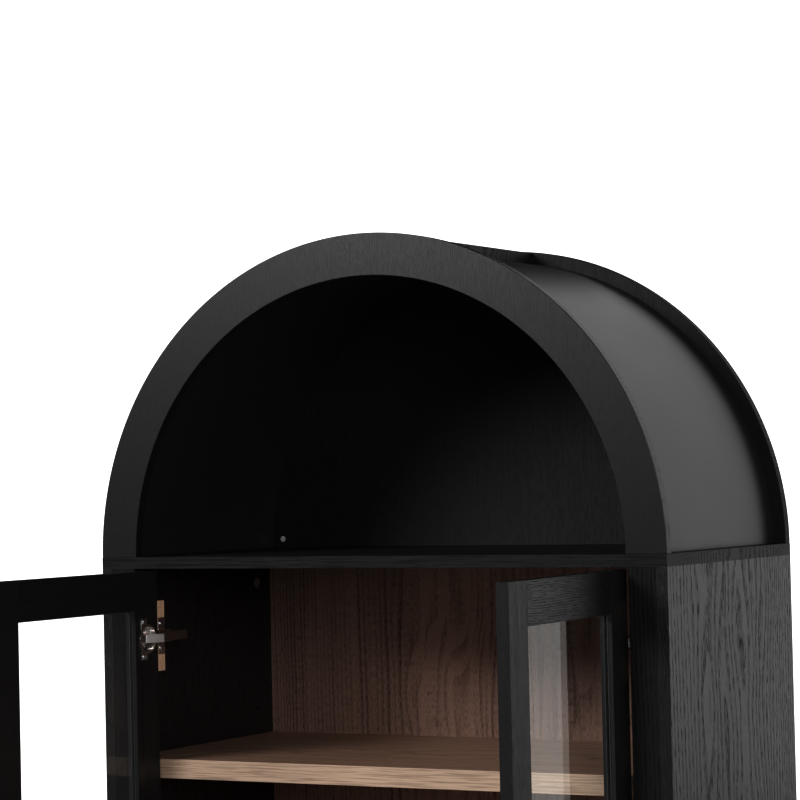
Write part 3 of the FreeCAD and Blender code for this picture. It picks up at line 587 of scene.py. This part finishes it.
def cross_screws(node):
    """A node's screws, each with its cross."""
    screws = node_shape(node)
    punches = bmesh.new()
    for number, points in enumerate(loose_solids(screws)):
        add_punch(punches, points, number * BITE)
    pair = []
    for title, shape in (("screws", screws), ("punches", punches)):
        mesh = bpy.data.meshes.new(f"{node}_{title}")
        shape.to_mesh(mesh)
        shape.free()
        pair.append(stand(f"{node}_{title}", mesh))
    plain, punch = pair
    sink = plain.modifiers.new("sink", "BOOLEAN")
    sink.operation = "DIFFERENCE"
    sink.solver = "EXACT"
    sink.object = punch
    sunk = bpy.data.meshes.new_from_object(plain.evaluated_get(bpy.context.evaluated_depsgraph_get()))
    for spare in pair:
        bpy.data.objects.remove(spare)
    settle(stand(node + "_made", sunk), node, zinc, ease=0.0002)


for node in ("hinge_block_screws", "hinge_plate_screws", "left_cup_screws", "right_cup_screws",
             "left_pull_screws", "right_pull_screws", "ridge_screws"):
    cross_screws(node)

# Doors: each is four strips of the foiled board, glued up with butt joints. The rails stand between the
# stiles, and a groove runs all round the opening for the pane.

black_rail = wood("black_oak_rail", "y", "z", BLACK_PALE, BLACK_DEEP, hearts=(2.2,), seed=60)
black_door = wood("black_oak_door", "z", "y", BLACK_PALE, BLACK_DEEP, hearts=(0.6,), seed=64)
for side in ("left", "right"):
    for part in ("hinge_stile", "free_stile"):
        easy_edges(f"{side}_door_{part}", black_door, ease=0.0007)
    for part in ("top_rail", "bottom_rail"):
        easy_edges(f"{side}_door_{part}", black_rail, ease=0.0007)

# Panes: 4 mm clear float glass with ground edges, one full length of glass in each door. A dark soft seal
# holds each pane in its groove.

MIRROR_STEEP = 5              # how sharply the mirror shine grows towards a slanting view
MIRROR_MOST = 0.6
MIRROR_LEAST = 0.03
SMEARS = 9                    # in a metre
SMEAR_DULLS = 0.008           # the most that a smear roughens the shine


def pane_glass(name):
    """Clear glass that shines more the more it is seen edge on, with a little smear in the shine."""
    finish = Finish(name)
    smear = finish.even_noise(SMEARS, 4, 0.6, seed=3) * SMEAR_DULLS
    clear = finish.node("ShaderNodeBsdfTransparent", sockets={"Color": rgb(0.985, 0.995, 0.99)})
    mirror = finish.node("ShaderNodeBsdfGlossy", sockets={"Color": rgb(1, 1, 1), "Roughness": smear})
    slant = finish.node("ShaderNodeLayerWeight", sockets={"Blend": 0.5}, output="Facing")
    share = slant ** MIRROR_STEEP * MIRROR_MOST + MIRROR_LEAST
    return finish.output(finish.node("ShaderNodeMixShader", sockets={0: share, 1: clear, 2: mirror}))


glass = pane_glass("clear_pane")
seal = plastic("soft_seal", (0.10, 0.10, 0.10), roughness=0.3)
for side in ("left", "right"):
    easy_edges(f"{side}_door_glass", glass, ease=0.0005)
    easy_edges(f"{side}_door_seal", seal, ease=0)

# Pulls: a round steel bar on two posts, powder coated black. Two screws through the door's free stile hold
# each one from inside.

powder = satin("powder_coat", (0.02, 0.02, 0.02), roughness=0.45, seed=70)
for side in ("left", "right"):
    easy_edges(f"{side}_door_pull", powder, ease=0.0008)

# Floor: a plain pale studio floor, painted, with hardly any cloud in the paint. It glows a little to the
# camera alone, so that it stays pale where the lamps don't reach, and it throws no light on the cabinet.

FLOOR_REACH = 5.5
FLOOR_GLOW = 0.74
WHITE = rgb(1, 1, 1)
floor_mesh = bpy.data.meshes.new("floor")
corners = [(x * FLOOR_REACH, y * FLOOR_REACH, 0) for x, y in ((-1, -1), (1, -1), (1, 1), (-1, 1))]
floor_mesh.from_pydata(corners, [], [(0, 1, 2, 3)])
floor = stand("floor", floor_mesh)
floor_paint = Finish("floor_paint")
cloud = floor_paint.even_noise(2, 3)
colour = floor_paint.tint(cloud, rgb(0.70, 0.70, 0.69), rgb(0.74, 0.74, 0.73))
paint = floor_paint.node("ShaderNodeBsdfDiffuse", sockets={"Color": colour})
glow = floor_paint.node("ShaderNodeEmission", sockets={"Color": WHITE, "Strength": FLOOR_GLOW})
seen = floor_paint.node("ShaderNodeLightPath", output="Is Camera Ray")
lit = floor_paint.node("ShaderNodeAddShader", sockets={0: paint, 1: glow})
painted = floor_paint.node("ShaderNodeMixShader", sockets={0: seen, 1: paint, 2: lit})
floor.data.materials.append(floor_paint.output(painted))

# Lamps: five soft rectangles. The big one behind on the right draws the shine along the shell, the two in
# front show the ring and the inside, and the weak ones at the sides open up the blacks.


def softbox(name, place, aim, width, height, watts):
    """A rectangular light that points at a spot and isn't seen itself."""
    lamp = bpy.data.lights.new(name, "AREA")
    lamp.shape = "RECTANGLE"
    lamp.size = width
    lamp.size_y = height
    lamp.energy = watts
    light = stand(name, lamp)
    light.location = place
    light.rotation_euler = (Vector(aim) - Vector(place)).to_track_quat("-Z", "Y").to_euler()
    light.visible_camera = False


softbox("back_right", (1.3, 3.7, 2.3), (0.3, -0.2, 1.4), width=4.5, height=3.8, watts=66)
softbox("front_left", (-1.95, -3.7, 3.22), (0.0, 0.0, 1.4), width=2.0, height=1.2, watts=150)
softbox("front_right", (2.6, -3.3, 2.2), (0.0, 0.0, 1.2), width=1.4, height=1.4, watts=64)
softbox("side_right", (4.2, -0.3, 1.7), (0.0, 0.0, 1.2), width=2.6, height=2.6, watts=21)
softbox("side_left", (-4.2, -0.3, 1.7), (0.0, 0.0, 1.2), width=2.6, height=2.6, watts=30)

# Studio walls: white to the camera, and nearly dark to everything else, so that the lamps alone shape the
# cabinet.

WALLS_SEEN = 1.6
WALLS_LIGHT = 0.04
walls = Finish("studio", bpy.data.worlds.new("studio"))
backdrop = walls.node("ShaderNodeBackground", sockets={"Color": WHITE, "Strength": WALLS_SEEN})
room = walls.node("ShaderNodeBackground", sockets={"Color": WHITE, "Strength": WALLS_LIGHT})
seen = walls.node("ShaderNodeLightPath", output="Is Camera Ray")
white_room = walls.node("ShaderNodeMixShader", sockets={0: seen, 1: room, 2: backdrop})
bpy.context.scene.world = walls.output(white_room, "ShaderNodeOutputWorld")

# Camera: at eye height in front and to the right, with a long lens on the cabinet's upper half. The view's
# gamma hardens the contrast, so that the blacks stay deep.

CAMERA_PLACE = (1.657, -3.107, 1.496)
CAMERA_YAW = 28.94
CAMERA_PITCH = 1.64
CAMERA_ROLL = -1.27
LENS = 121.7
SENSOR = 36
SIGHT = 50                    # how far the camera sees, in metres
HARD_CONTRAST = 0.72
lens = bpy.data.cameras.new("camera")
lens.lens = LENS
lens.sensor_width = SENSOR
lens.clip_end = SIGHT
camera = stand("camera", lens)
camera.matrix_world = (
    Matrix.Translation(CAMERA_PLACE)
    @ Matrix.Rotation(math.radians(CAMERA_YAW), 4, "Z")
    @ Matrix.Rotation(math.radians(90 + CAMERA_PITCH), 4, "X")
    @ Matrix.Rotation(math.radians(CAMERA_ROLL), 4, "Z")
)
bpy.context.scene.camera = camera
bpy.context.scene.view_settings.view_transform = "Standard"
bpy.context.scene.view_settings.gamma = HARD_CONTRAST
